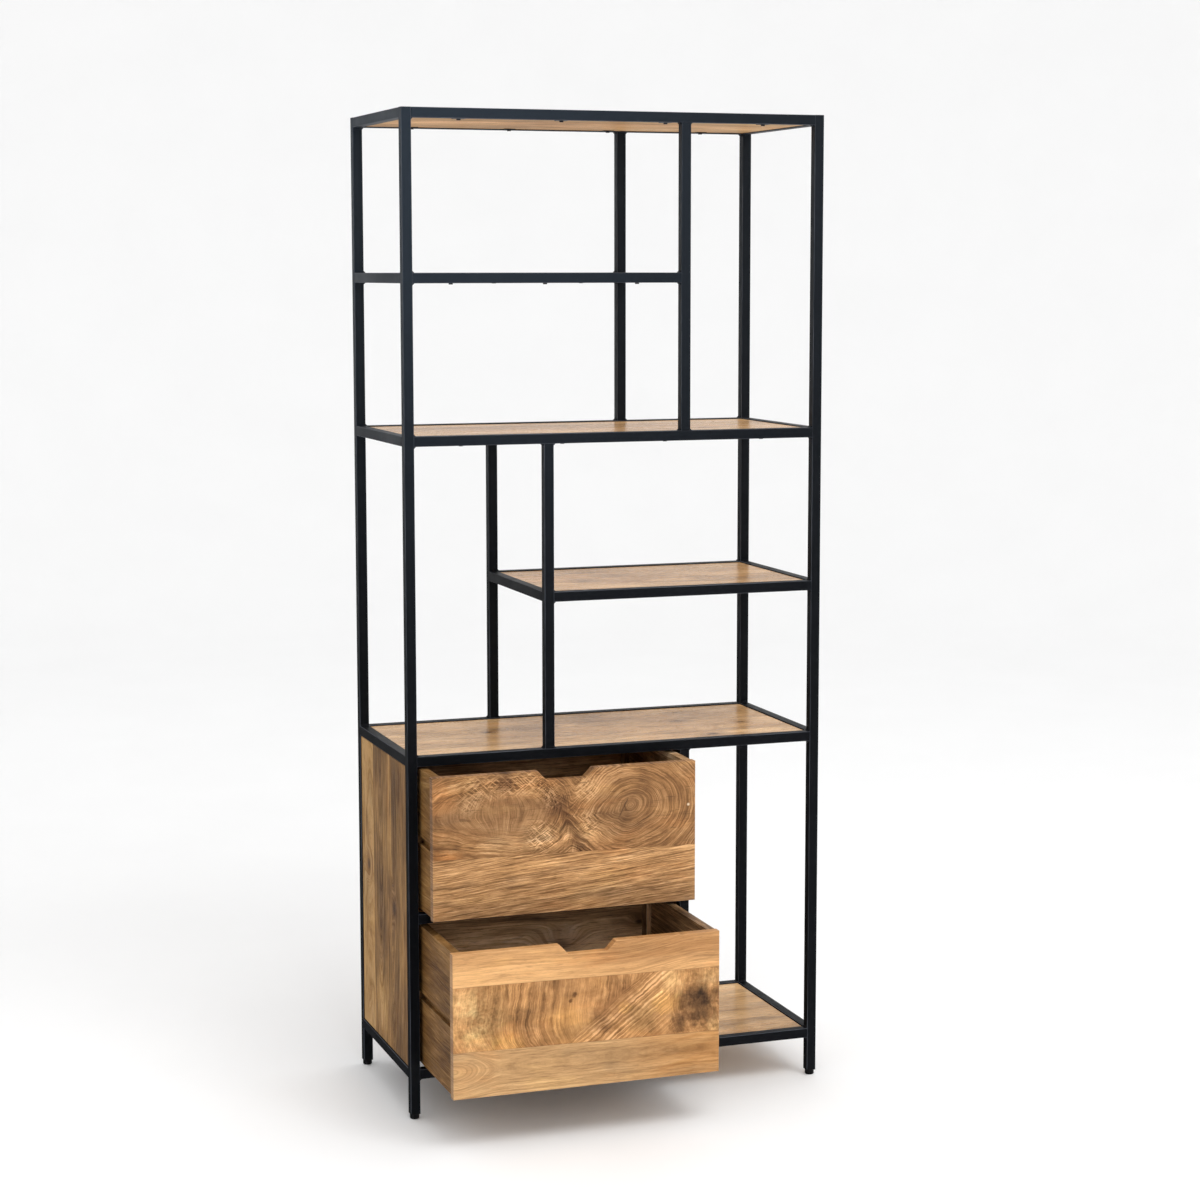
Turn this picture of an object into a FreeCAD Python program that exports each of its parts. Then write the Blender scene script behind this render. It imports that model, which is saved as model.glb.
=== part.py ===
import FreeCAD, Part
import os
import re
import Sketcher

# An open bookcase: a welded frame of square steel tube on four screw feet, wooden shelf
# panels let into the frame on small tabs, and a cabinet at the lower left with two wooden
# drawers that hang on runners. The drawers stand part open, and the origin is on the floor
# under the middle of the part as it stands so. +X is to the right, +Y to the back, +Z up.

# Driving sizes, in millimetres.
SIZES = {
    # Frame, with the height of each level's rails at their upper face. The two dividers are
    # measured from the left face of the frame to the left face of the post.
    "overall_width": 840,
    "overall_depth": 380,
    "overall_height": 1900,
    "tube_size": 19,
    "tube_wall": 1.2,
    "tube_corner": 1.5,
    "upper_level": 1600,
    "middle_level": 1300,
    "lower_level": 1000,
    "cabinet_level": 700,
    "base_level": 97,
    "left_divider": 271.5,
    "right_divider": 547,
    # Wooden panels, the tabs that carry them and the screws that hold them.
    "panel_thickness": 15,
    "panel_gap": 1.5,
    "panel_edge": 0.8,
    "tab_length": 22,
    "tab_reach": 16,
    "tab_thickness": 2,
    "screw_diameter": 4,
    "screw_clearance": 0.25,
    "pilot_clearance": 0.05,
    "pilot_spare": 1,
    "head_diameter": 8,
    "head_height": 2.4,
    # Drawers.
    "drawer_depth": 345,
    "drawer_side_gap": 3.5,
    "drawer_level_gap": 5.6,
    "front_thickness": 18,
    "front_edge": 1.2,
    "side_thickness": 16,
    "side_set_in": 3,
    "side_lift": 3,
    "back_thickness": 16,
    "bottom_thickness": 6,
    "bottom_lift": 12,
    "bottom_groove": 6,
    "bottom_clearance": 0.2,
    "notch_width": 110,
    "notch_floor": 76,
    "notch_depth": 18,
    "block_leg": 14,
    "block_drop": 2,
    "upper_pull": 89,
    "lower_pull": 215,
    # Drawer runners, in the grooves of the drawer sides.
    "groove_height": 15,
    "groove_depth": 8,
    "runner_bearing": 0.3,
    "runner_play": 0.7,
    "runner_end_gap": 1,
    "head_sink": 0.6,
    # Screw feet and the plugs in the tube ends that take their stems.
    "foot_diameter": 18,
    "foot_height": 10,
    "foot_bevel": 2,
    "foot_gap": 0.3,
    "stem_diameter": 8,
    "stem_length": 22,
    "stem_clearance": 0.08,
    "plug_length": 26,
    "plug_rim": 1.5,
    "plug_clearance": 0.1,
}

# Sizes and places worked out from the driving sizes.
DERIVED = {
    "left_face": "-overall_width / 2",
    "front_face": "(lower_pull - overall_depth) / 2",
    "inner_left": "left_face + tube_size",
    "inner_right": "overall_width / 2 - tube_size",
    "inner_front": "front_face + tube_size",
    "inner_back": "front_face + overall_depth - tube_size",
    "inner_depth": "overall_depth - 2 * tube_size",
    "left_post": "left_face + left_divider",
    "right_post": "left_face + right_divider",
    "left_post_end": "left_post + tube_size",
    "right_post_end": "right_post + tube_size",
    "post_foot": "foot_height + foot_gap + plug_rim",
    "cabinet_bottom": "base_level",
    "cabinet_height": "cabinet_level - tube_size - base_level",
    "cabinet_width": "right_divider - tube_size",
    "opening_height": "(cabinet_height - tube_size) / 2",
    "divider_rail_bottom": "base_level + opening_height",
    "upper_opening_bottom": "divider_rail_bottom + tube_size",
    "panel_depth": "inner_depth - 2 * panel_gap",
    "tab_hole": "tab_reach / 2",
    "hole_radius": "screw_diameter / 2 + screw_clearance",
    "pilot_radius": "screw_diameter / 2 + pilot_clearance",
    "front_length": "cabinet_width - 2 * drawer_side_gap",
    "front_height": "opening_height - 2 * drawer_level_gap",
    "side_length": "drawer_depth - front_thickness",
    "side_height": "front_height - side_lift",
    "drawer_inside": "front_length - 2 * side_set_in - 2 * side_thickness",
    "inside_length": "side_length - back_thickness",
    "bottom_slot": "bottom_thickness + 2 * bottom_clearance",
    "bottom_bite": "bottom_groove - bottom_clearance",
    "groove_bottom": "front_height / 2 - side_lift - groove_height / 2",
    "runner_height": "groove_height - runner_bearing - runner_play",
    "runner_width": "drawer_side_gap + side_set_in + tab_thickness + groove_depth - runner_end_gap",
    "head_bore_radius": "head_diameter / 2 + screw_clearance",
    "head_bore_depth": "head_height + head_sink",
    "head_seat": "runner_width - head_bore_depth",
    "stem_bore_radius": "stem_diameter / 2 + stem_clearance",
    "plug_size": "tube_size - 2 * tube_wall - 2 * plug_clearance",
}

# Places along a panel's tabbed edges and along a runner, and how far a screw goes into a panel.
LONG_SHELF_TAB_SHARES = (0.12, 0.37, 0.63, 0.88)
MID_SHELF_TAB_SHARES = (0.15, 0.5, 0.85)
SHORT_SHELF_TAB_SHARES = (0.22, 0.78)
UPRIGHT_TAB_SHARES = (0.08, 0.5, 0.92)
RUNNER_SCREW_SHARES = (0.1, 0.5, 0.9)
SCREW_BITE_SHARE = 0.7

X = FreeCAD.Vector(1, 0, 0)
Y = FreeCAD.Vector(0, 1, 0)
Z = FreeCAD.Vector(0, 0, 1)

doc = FreeCAD.newDocument("bookcase")
sheet = doc.addObject("Spreadsheet::Sheet", "Sizes")
for row, (name, value) in enumerate(SIZES.items(), start=1):
    sheet.set(f"A{row}", name)
    sheet.set(f"B{row}", str(value))
    sheet.setAlias(f"B{row}", name)
doc.recompute()

nodes = []


def expand(text):
    """Write a sum of named sizes as an expression on the sheet's cells."""

    def cell(match):
        name = match.group()
        if name in DERIVED:
            return f"({expand(DERIVED[name])})"
        return f"Sizes.{name}"

    return re.sub(r"[a-z_]+", cell, text)


def bind(item, path, text):
    item.setExpression(path, expand(text))


class Seat:
    """A place for a piece: its corner, and the ways its own x, y and z axes point."""

    def __init__(self, corner, along, across):
        self.corner = corner
        self.along = along
        self.across = across
        self.out = along.cross(across)

    def point(self, along="0", across="0", out="0"):
        """A point given along the piece's own axes, as three expressions in the part's axes."""
        places = []
        for axis in range(3):
            text = self.corner[axis]
            for direction, step in ((self.along, along), (self.across, across), (self.out, out)):
                if direction[axis] > 0:
                    text = f"{text} + ({step})"
                elif direction[axis] < 0:
                    text = f"{text} - ({step})"
            places.append(text)
        return tuple(places)


def put(item, corner, along, across):
    """Turn a piece so that its own x and y axes point along and across, and place its corner."""
    turn = FreeCAD.Rotation(along, across, along.cross(across), "XYZ")
    item.Placement = FreeCAD.Placement(FreeCAD.Vector(), turn)
    for axis, text in zip("xyz", corner):
        bind(item, f"Placement.Base.{axis}", text)


def copy_at(original, name, corner, along, across):
    link = doc.addObject("App::Link", name)
    link.LinkedObject = original
    put(link, corner, along, across)
    return link


def node(item, label):
    item.Label = label
    nodes.append(item)
    return item


def group(label, members):
    compound = doc.addObject("Part::Compound", label)
    compound.Links = members
    return node(compound, label)


def new_body(label):
    return doc.addObject("PartDesign::Body", label)


def new_sketch(body, plane="XY_Plane", height=None):
    """A sketch on one of the body's own planes, raised by the named height."""
    sketch = body.newObject("Sketcher::SketchObject", f"{body.Name}_sketch")
    origin_plane = [item for item in body.Origin.OriginFeatures if item.Role == plane][0]
    sketch.AttachmentSupport = [(origin_plane, "")]
    sketch.MapMode = "FlatFace"
    if height is not None:
        bind(sketch, "AttachmentOffset.Base.z", height)
    return sketch


def pin(sketch, geometry, point, place):
    """Hold a sketch point at its named distances from the sketch's own origin."""
    for kind, text in zip(("DistanceX", "DistanceY"), place):
        index = sketch.addConstraint(Sketcher.Constraint(kind, -1, 1, geometry, point, 1))
        bind(sketch, f"Constraints[{index}]", text)


def draw_polygon(sketch, corners):
    """A closed outline through corners given as pairs of named sizes."""
    count = len(corners)
    start = [FreeCAD.Rotation(Z, 360 * turn / count).multVec(X) for turn in range(count)]
    for turn in range(count):
        sketch.addGeometry(Part.LineSegment(start[turn], start[(turn + 1) % count]))
    for turn in range(count):
        sketch.addConstraint(Sketcher.Constraint("Coincident", turn, 2, (turn + 1) % count, 1))
    for turn, corner in enumerate(corners):
        pin(sketch, turn, 1, corner)


def draw_rectangle(sketch, low, high):
    draw_polygon(sketch, (low, (high[0], low[1]), high, (low[0], high[1])))


def draw_circles(sketch, centres, radius):
    for centre in centres:
        geometry = sketch.addGeometry(Part.Circle(FreeCAD.Vector(), Z, 1))
        pin(sketch, geometry, 3, centre)
        index = sketch.addConstraint(Sketcher.Constraint("Radius", geometry, 1))
        bind(sketch, f"Constraints[{index}]", radius)


def pad(body, sketch, length):
    feature = body.newObject("PartDesign::Pad", f"{body.Name}_pad")
    feature.Profile = sketch
    bind(feature, "Length", length)
    doc.recompute()
    return feature


def pocket(body, sketch, depth, upwards=True):
    """Cut a sketch into the body, away from the sketch's plane."""
    feature = body.newObject("PartDesign::Pocket", f"{body.Name}_pocket")
    feature.Profile = sketch
    feature.Reversed = upwards
    bind(feature, "Length", depth)
    return feature


def dress(body, kind, base, wanted, prop, size):
    """A fillet or chamfer on the base feature's edges that are wanted."""
    edges = [f"Edge{place}" for place, edge in enumerate(base.Shape.Edges, start=1) if wanted(edge)]
    feature = body.newObject(f"PartDesign::{kind}", f"{body.Name}_{kind.lower()}")
    feature.Base = (base, edges)
    bind(feature, prop, size)
    doc.recompute()
    return feature


def runs_up(edge):
    return edge.Vertexes[0].Z != edge.Vertexes[1].Z


def on_top(edge):
    return all(vertex.Z > 0 for vertex in edge.Vertexes)


# Steel tubes.


def make_tube(label, corner, length, run, closed_end=False):
    """A square tube with rounded corners. A closed end is capped by a plate of the tube's wall."""
    body = new_body(label)
    section = new_sketch(body)
    draw_rectangle(section, ("0", "0"), ("tube_size", "tube_size"))
    bar = pad(body, section, length)
    dress(body, "Fillet", bar, runs_up, "Radius", "tube_corner")
    bore = new_sketch(body)
    bore_end = "tube_size - tube_wall"
    draw_rectangle(bore, ("tube_wall", "tube_wall"), (bore_end, bore_end))
    pocket(body, bore, f"{length} - tube_wall" if closed_end else length)
    ways = {"up": (X, Y), "right": (Y, Z), "back": (Z, X)}
    put(body, corner, *ways[run])
    return body


def make_posts():
    front_back = (("front", "front_face"), ("back", "inner_back"))
    for depth_name, y in front_back:
        for side_name, x in (("left", "left_face"), ("right", "inner_right")):
            label = f"{depth_name}_{side_name}_post"
            length = "overall_height - post_foot"
            node(make_tube(label, (x, y, "post_foot"), length, "up", closed_end=True), label)
    stretches = (
        ("upper", "right_post", "middle_level", "overall_height"),
        ("lower", "left_post", "cabinet_level", "middle_level"),
        ("cabinet", "right_post", "base_level", "cabinet_level"),
    )
    for name, x, low, high in stretches:
        for depth_name, y in front_back:
            label = f"{name}_{depth_name}_post"
            node(make_tube(label, (x, y, low), f"{high} - tube_size - {low}", "up"), label)


def make_rails():
    """At each level a front rail, a back rail and the side rails between them."""
    levels = (
        ("top", "overall_height", "inner_left", "inner_right", ("left_face", "inner_right")),
        ("upper", "upper_level", "inner_left", "right_post", ("left_face", "right_post")),
        ("middle", "middle_level", "inner_left", "inner_right", ("left_face", "inner_right")),
        ("lower", "lower_level", "left_post_end", "inner_right", ("left_post", "inner_right")),
        ("cabinet", "cabinet_level", "inner_left", "inner_right", ("left_face", "inner_right")),
        ("base", "base_level", "inner_left", "inner_right", ("left_face", "right_post", "inner_right")),
    )
    for name, level, start, end, sides in levels:
        z = f"{level} - tube_size"
        for depth_name, y in (("front", "front_face"), ("back", "inner_back")):
            label = f"{name}_{depth_name}_rail"
            node(make_tube(label, (start, y, z), f"{end} - ({start})", "right"), label)
        rails = [
            make_tube(f"{name}_side_rail", (x, "inner_front", z), "inner_depth", "back")
            for x in sides
        ]
        group(f"{name}_side_rails", rails)
    label = "drawer_divider_rail"
    corner = ("inner_left", "front_face", "divider_rail_bottom")
    node(make_tube(label, corner, "cabinet_width", "right"), label)


# Wooden panels on their tabs.


def make_panel(label, seat, length, width, tab_shares, more_pilots=()):
    """A panel on a row of tabs along each long edge. Its own z axis points from the tabs outwards."""
    body = new_body(label)
    outline = new_sketch(body)
    draw_rectangle(outline, ("0", "0"), (length, width))
    board = pad(body, outline, "panel_thickness")
    dress(body, "Chamfer", board, on_top, "Size", "panel_edge")
    near = "tab_hole - panel_gap"
    far = f"{width} - tab_hole + panel_gap"
    pilots = [(f"({length}) * {share}", row) for share in tab_shares for row in (near, far)]
    holes = new_sketch(body)
    draw_circles(holes, pilots + list(more_pilots), "pilot_radius")
    pocket(body, holes, f"panel_thickness * {SCREW_BITE_SHARE} + pilot_spare")
    put(body, seat.corner, seat.along, seat.across)
    node(body, label)
    for share in tab_shares:
        place = f"({length}) * {share}"
        for edge, way in (("-panel_gap", 1), (f"{width} + panel_gap", -1)):
            along = seat.along * way
            across = seat.across * way
            corner = seat.point(place, edge, "-tab_thickness")
            tabs.append(copy_at(tab, "tab_copy", corner, along, across))
            hole = f"{edge} + ({way}) * (tab_hole)"
            corner = seat.point(place, hole, "-tab_thickness")
            panel_screws.append(copy_at(panel_screw, "panel_screw_copy", corner, along, across))


def make_tab():
    """A steel tab with a screw hole, its welded edge on its own x axis."""
    body = new_body("tab")
    outline = new_sketch(body)
    draw_rectangle(outline, ("-tab_length / 2", "0"), ("tab_length / 2", "tab_reach"))
    pad(body, outline, "tab_thickness")
    hole = new_sketch(body)
    draw_circles(hole, (("0", "tab_hole"),), "hole_radius")
    pocket(body, hole, "tab_thickness")
    return body


def make_screw(name, grip):
    """A pan head screw. Its head lies below its own z = 0 and its shank above."""
    body = new_body(name)
    profile = new_sketch(body, "XZ_Plane")
    shank = "screw_diameter / 2"
    head = "head_diameter / 2"
    tip = f"{grip} + panel_thickness * {SCREW_BITE_SHARE}"
    corners = (("0", "-head_height"), (head, "-head_height"), (head, "0"), (shank, "0"), (shank, tip))
    draw_polygon(profile, corners + (("0", tip),))
    turn = body.newObject("PartDesign::Revolution", f"{name}_turn")
    turn.Profile = profile
    turn.ReferenceAxis = (profile, ["V_Axis"])
    return body


def make_panels():
    shelves = (
        ("top_panel", "overall_height", "inner_left", "inner_right", LONG_SHELF_TAB_SHARES),
        ("upper_shelf", "upper_level", "inner_left", "right_post", MID_SHELF_TAB_SHARES),
        ("middle_shelf", "middle_level", "inner_left", "inner_right", LONG_SHELF_TAB_SHARES),
        ("lower_shelf", "lower_level", "left_post_end", "inner_right", MID_SHELF_TAB_SHARES),
        ("cabinet_top", "cabinet_level", "inner_left", "inner_right", LONG_SHELF_TAB_SHARES),
        ("bottom_shelf", "base_level", "right_post_end", "inner_right", SHORT_SHELF_TAB_SHARES),
    )
    for label, level, start, end, shares in shelves:
        corner = (f"{start} + panel_gap", "inner_front + panel_gap", f"{level} - tube_size + tab_thickness")
        length = f"{end} - ({start}) - 2 * panel_gap"
        make_panel(label, Seat(corner, X, Y), length, "panel_depth", shares)

    height = "cabinet_height - 2 * panel_gap"
    foot = "cabinet_bottom + panel_gap"
    runner_pilots = [
        (f"{opening} + opening_height / 2 - ({foot})", f"inner_depth * {share} - panel_gap")
        for opening in ("cabinet_bottom", "upper_opening_bottom")
        for share in RUNNER_SCREW_SHARES
    ]
    corner = ("inner_left - tab_thickness", "inner_front + panel_gap", foot)
    left_seat = Seat(corner, Z, Y)
    make_panel("left_side_panel", left_seat, height, "panel_depth", UPRIGHT_TAB_SHARES, runner_pilots)
    corner = ("right_post + tab_thickness", "inner_back - panel_gap", foot)
    right_seat = Seat(corner, Z, -Y)
    make_panel("right_side_panel", right_seat, height, "panel_depth", UPRIGHT_TAB_SHARES, runner_pilots)
    corner = ("inner_left + panel_gap", "inner_back + tab_thickness", foot)
    back_width = "cabinet_width - 2 * panel_gap"
    make_panel("back_panel", Seat(corner, Z, X), height, back_width, UPRIGHT_TAB_SHARES)


# Drawers and their runners.


def cut_groove(body, low, high, depth, face=None):
    """A straight groove, cut upwards from the board's lower face or down from the named height."""
    sketch = new_sketch(body, height=face)
    draw_rectangle(sketch, low, high)
    pocket(body, sketch, depth, upwards=face is None)


def make_front(label, corner):
    """The front board, with a finger notch in its upper edge. Its own z axis points to the front."""
    body = new_body(label)
    outline = new_sketch(body)
    middle = "front_length / 2"
    floor = "front_height - notch_depth"
    notch = (
        (f"{middle} + notch_width / 2", "front_height"),
        (f"{middle} + notch_floor / 2", floor),
        (f"{middle} - notch_floor / 2", floor),
        (f"{middle} - notch_width / 2", "front_height"),
    )
    lower = (("0", "0"), ("front_length", "0"), ("front_length", "front_height"))
    draw_polygon(outline, lower + notch + (("0", "front_height"),))
    board = pad(body, outline, "front_thickness")
    dress(body, "Chamfer", board, on_top, "Size", "front_edge")
    start = "side_set_in + side_thickness - bottom_groove"
    slot = "side_lift + bottom_lift"
    cut_groove(body, (start, slot), (f"front_length - ({start})", f"{slot} + bottom_slot"), "bottom_groove")
    put(body, corner, X, Z)
    return body


def make_side(label, corner, along):
    """A side board, outer face down: the runner's groove outside, the bottom's groove inside."""
    body = new_body(label)
    outline = new_sketch(body)
    draw_rectangle(outline, ("0", "0"), ("side_length", "side_height"))
    pad(body, outline, "side_thickness")
    runner_top = "groove_bottom + groove_height"
    cut_groove(body, ("0", "groove_bottom"), ("side_length", runner_top), "groove_depth")
    slot_top = "bottom_lift + bottom_slot"
    slot_low = ("0", "bottom_lift")
    cut_groove(body, slot_low, ("side_length", slot_top), "bottom_groove", "side_thickness")
    put(body, corner, along, Z)
    return body


def make_back(label, corner):
    body = new_body(label)
    outline = new_sketch(body)
    draw_rectangle(outline, ("0", "0"), ("drawer_inside", "side_height"))
    pad(body, outline, "back_thickness")
    slot_top = "bottom_lift + bottom_slot"
    slot_low = ("0", "bottom_lift")
    cut_groove(body, slot_low, ("drawer_inside", slot_top), "bottom_groove", "back_thickness")
    put(body, corner, X, Z)
    return body


def make_bottom(label, corner):
    body = new_body(label)
    outline = new_sketch(body)
    far_corner = ("drawer_inside + 2 * bottom_bite", "inside_length + 2 * bottom_bite")
    draw_rectangle(outline, ("0", "0"), far_corner)
    pad(body, outline, "bottom_thickness")
    put(body, corner, X, Y)
    return body


def make_block(name):
    """A three-sided glue block for an inner corner."""
    body = new_body(name)
    outline = new_sketch(body)
    draw_polygon(outline, (("0", "0"), ("block_leg", "0"), ("0", "block_leg")))
    pad(body, outline, "side_height - bottom_lift - bottom_clearance - bottom_thickness - block_drop")
    return body


def make_drawer(name, opening_bottom, pull):
    """Five boards and four corner blocks, drawn out of the frame by the named pull."""
    front_left = "inner_left + drawer_side_gap"
    front_y = f"front_face - {pull}"
    side_y = f"{front_y} + front_thickness"
    front_z = f"{opening_bottom} + drawer_level_gap"
    side_z = f"{front_z} + side_lift"
    inside_left = f"{front_left} + side_set_in + side_thickness"
    inside_right = f"{inside_left} + drawer_inside"
    side_end = f"{side_y} + side_length"
    back_y = f"{side_y} + inside_length"
    bottom_z = f"{side_z} + bottom_lift + bottom_clearance"

    label = f"{name}_drawer_front"
    node(make_front(label, (front_left, side_y, front_z)), label)
    label = f"{name}_drawer_left_side"
    node(make_side(label, (f"{front_left} + side_set_in", side_y, side_z), Y), label)
    label = f"{name}_drawer_right_side"
    node(make_side(label, (f"{inside_right} + side_thickness", side_end, side_z), -Y), label)
    label = f"{name}_drawer_back"
    node(make_back(label, (inside_left, side_end, side_z)), label)
    label = f"{name}_drawer_bottom"
    corner = (f"{inside_left} - bottom_bite", f"{side_y} - bottom_bite", bottom_z)
    node(make_bottom(label, corner), label)

    block = make_block(f"{name}_block")
    block_z = f"{bottom_z} + bottom_thickness"
    corners = (
        (inside_left, side_y, X, Y),
        (inside_right, side_y, Y, -X),
        (inside_right, back_y, -X, -Y),
        (inside_left, back_y, -Y, X),
    )
    blocks = [
        copy_at(block, "block_copy", (x, y, block_z), along, across)
        for x, y, along, across in corners
    ]
    group(f"{name}_drawer_corner_blocks", blocks)


def make_runners():
    """Four strips on the cabinet's side panels, and the screws sunk in them."""
    runner = new_body("runner")
    outline = new_sketch(runner)
    draw_rectangle(outline, ("0", "0"), ("inner_depth", "runner_height"))
    pad(runner, outline, "runner_width")
    centre = "groove_height / 2 - runner_play"
    holes = [(f"inner_depth * {share}", centre) for share in RUNNER_SCREW_SHARES]
    shank_holes = new_sketch(runner)
    draw_circles(shank_holes, holes, "hole_radius")
    pocket(runner, shank_holes, "runner_width")
    head_holes = new_sketch(runner, height="runner_width")
    draw_circles(head_holes, holes, "head_bore_radius")
    pocket(runner, head_holes, "head_bore_depth", upwards=False)

    screw = make_screw("runner_screw", "head_seat")
    runners = []
    screws = []
    for opening in ("cabinet_bottom", "upper_opening_bottom"):
        z = f"{opening} + opening_height / 2 - groove_height / 2 + runner_play"
        left = Seat(("inner_left - tab_thickness", "inner_front", z), Y, Z)
        right = Seat(("right_post + tab_thickness", "inner_back", z), -Y, Z)
        for seat in (left, right):
            runners.append(copy_at(runner, "runner_copy", seat.corner, seat.along, seat.across))
            for x, y in holes:
                corner = seat.point(x, y, "head_seat")
                screws.append(copy_at(screw, "runner_screw_copy", corner, seat.across, seat.along))
    group("drawer_runners", runners)
    group("runner_screws", screws)


# Feet.


def make_feet():
    """Under each corner post a plug in the tube's end and a round foot on a screwed stem."""
    plug = new_body("plug")
    rim = new_sketch(plug)
    draw_rectangle(rim, ("0", "0"), ("tube_size", "tube_size"))
    plate = pad(plug, rim, "plug_rim")
    dress(plug, "Fillet", plate, runs_up, "Radius", "tube_corner")
    core = new_sketch(plug, height="plug_rim")
    low = "tube_wall + plug_clearance"
    draw_rectangle(core, (low, low), (f"{low} + plug_size", f"{low} + plug_size"))
    pad(plug, core, "plug_length")
    bore = new_sketch(plug)
    draw_circles(bore, (("tube_size / 2", "tube_size / 2"),), "stem_bore_radius")
    pocket(plug, bore, "plug_rim + plug_length")

    plugs = []
    for depth_name, y in (("front", "front_face"), ("back", "inner_back")):
        for side_name, x in (("left", "left_face"), ("right", "inner_right")):
            plugs.append(copy_at(plug, "plug_copy", (x, y, "foot_height + foot_gap"), X, Y))
            label = f"{depth_name}_{side_name}_foot"
            foot = new_body(label)
            profile = new_sketch(foot, "XZ_Plane")
            edge = "foot_diameter / 2"
            stem = "stem_diameter / 2"
            top = "foot_height + foot_gap + stem_length"
            corners = (
                ("0", "0"),
                (f"{edge} - foot_bevel", "0"),
                (edge, "foot_bevel"),
                (edge, "foot_height"),
                (stem, "foot_height"),
                (stem, top),
                ("0", top),
            )
            draw_polygon(profile, corners)
            turn = foot.newObject("PartDesign::Revolution", f"{label}_turn")
            turn.Profile = profile
            turn.ReferenceAxis = (profile, ["V_Axis"])
            put(foot, (f"{x} + tube_size / 2", f"{y} + tube_size / 2", "0"), X, Y)
            node(foot, label)
    group("foot_plugs", plugs)


def check():
    """Stop if anything failed to build, or if a cut took nothing away."""
    for item in doc.Objects:
        if {"Invalid", "Error"} & set(item.State):
            raise RuntimeError(f"{item.Label} failed: {item.State}")
        if item.TypeId == "PartDesign::Pocket" and item.Shape.Volume >= item.BaseFeature.Shape.Volume:
            raise RuntimeError(f"{item.Label} cuts nothing")
    for item in nodes:
        if item.Shape.isNull() or not item.Shape.isValid():
            raise RuntimeError(f"{item.Label} has no valid shape")


tabs = []
panel_screws = []
tab = make_tab()
panel_screw = make_screw("panel_screw", "tab_thickness")

make_posts()
make_rails()
make_panels()
group("panel_tabs", tabs)
group("panel_screws", panel_screws)
make_runners()
make_drawer("upper", "upper_opening_bottom", "upper_pull")
make_drawer("lower", "cabinet_bottom", "lower_pull")
make_feet()
doc.recompute()
check()

os.makedirs("parts", exist_ok=True)
for item in nodes:
    item.Shape.exportStep(f"parts/{item.Label}.step")
    print(item.Label, len(item.Shape.Solids), round(item.Shape.Volume))
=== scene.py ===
import math

import bmesh
import bpy
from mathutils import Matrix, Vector


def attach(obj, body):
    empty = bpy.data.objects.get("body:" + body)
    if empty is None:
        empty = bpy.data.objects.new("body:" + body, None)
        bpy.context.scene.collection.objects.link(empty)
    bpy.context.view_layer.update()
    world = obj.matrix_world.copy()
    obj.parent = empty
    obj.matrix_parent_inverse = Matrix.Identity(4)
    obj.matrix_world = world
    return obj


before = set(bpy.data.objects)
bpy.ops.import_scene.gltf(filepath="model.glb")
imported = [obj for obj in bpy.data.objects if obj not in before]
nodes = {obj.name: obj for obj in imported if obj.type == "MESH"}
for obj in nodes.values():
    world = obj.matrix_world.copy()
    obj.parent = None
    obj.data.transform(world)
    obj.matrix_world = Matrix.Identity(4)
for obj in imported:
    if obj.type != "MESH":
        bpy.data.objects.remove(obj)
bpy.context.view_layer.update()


# Colours


def linear(red, green, blue):
    """The linear colour of an 8-bit screen colour."""
    return tuple(
        c / 3294.6 if c <= 10 else ((c / 255 + 0.055) / 1.055) ** 2.4 for c in (red, green, blue)
    ) + (1.0,)


# Dark to light, as shares of a board's middle colour.
SHADE_STEPS = (
    (0.26, 0.23, 0.20),
    (0.55, 0.52, 0.49),
    (1.00, 1.00, 1.00),
    (1.55, 1.68, 1.85),
    (2.20, 2.60, 3.40),
)
MIDDLE_STEP = 2


def shades(red, green, blue, spread=1.0):
    """Five tones from dark to light about a board's middle colour."""
    middle = linear(red, green, blue)
    return [
        tuple(min(1.0, c * s**spread) for c, s in zip(middle, step)) + (1.0,)
        for step in SHADE_STEPS
    ]


# Boards.
CROTCH = shades(148, 105, 64, 0.9)
UPPER_PLANK = shades(181, 134, 86, 0.85)
GOLDEN = shades(222, 171, 115, 0.42)
CURLY = shades(168, 120, 73, 0.9)
LOWER_PLANK = shades(190, 149, 102, 0.5)
SHELF = shades(197, 157, 111, 0.6)
# The side, back and drawer-side boards are darker, partly their own tone and partly painted shade
# of faces turned to the left; the drawers' insides are paler, as painted light where little light
# reaches.
SIDE_WITH_PAINTED_SHADE = shades(131, 95, 52, 0.85)
DRAWER_SIDE_WITH_PAINTED_SHADE = shades(118, 84, 46)
INSIDE_WITH_PAINTED_LIGHT = shades(174, 138, 99)
# Details of any board, as screen colours.
END_GRAIN, PORE, GLUE = (84, 58, 34), (84, 56, 32), (84, 58, 34)
# Paler board edges: partly wear, partly a painted highlight.
EDGE_WEAR_AND_HIGHLIGHT = (234, 204, 164)
KNOT_HALO, KNOT_HEART = (124, 88, 54), (62, 42, 26)
# Washes over a board's own colour, as shares of red, green and blue.
GOLD, ORANGE, GREY = (1.30, 1.34, 1.25, 1), (1.14, 0.98, 0.84, 1), (0.66, 0.69, 0.77, 1)
SMEAR, SHADED = (0.5, 0.45, 0.42, 1), (0.75, 0.75, 0.77, 1)
BROWNER, FLAME = (0.60, 0.53, 0.47, 1), (0.80, 0.66, 0.50, 1)
# The shine and roughness of an oiled board.
OIL_GLOSS, OIL_ROUGH = 0.2, 0.52


def wash(colour, board):
    """The wash that turns a board's middle colour into colour."""
    return tuple(c / b for c, b in zip(linear(*colour), board[MIDDLE_STEP]))


# Node graphs


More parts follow.
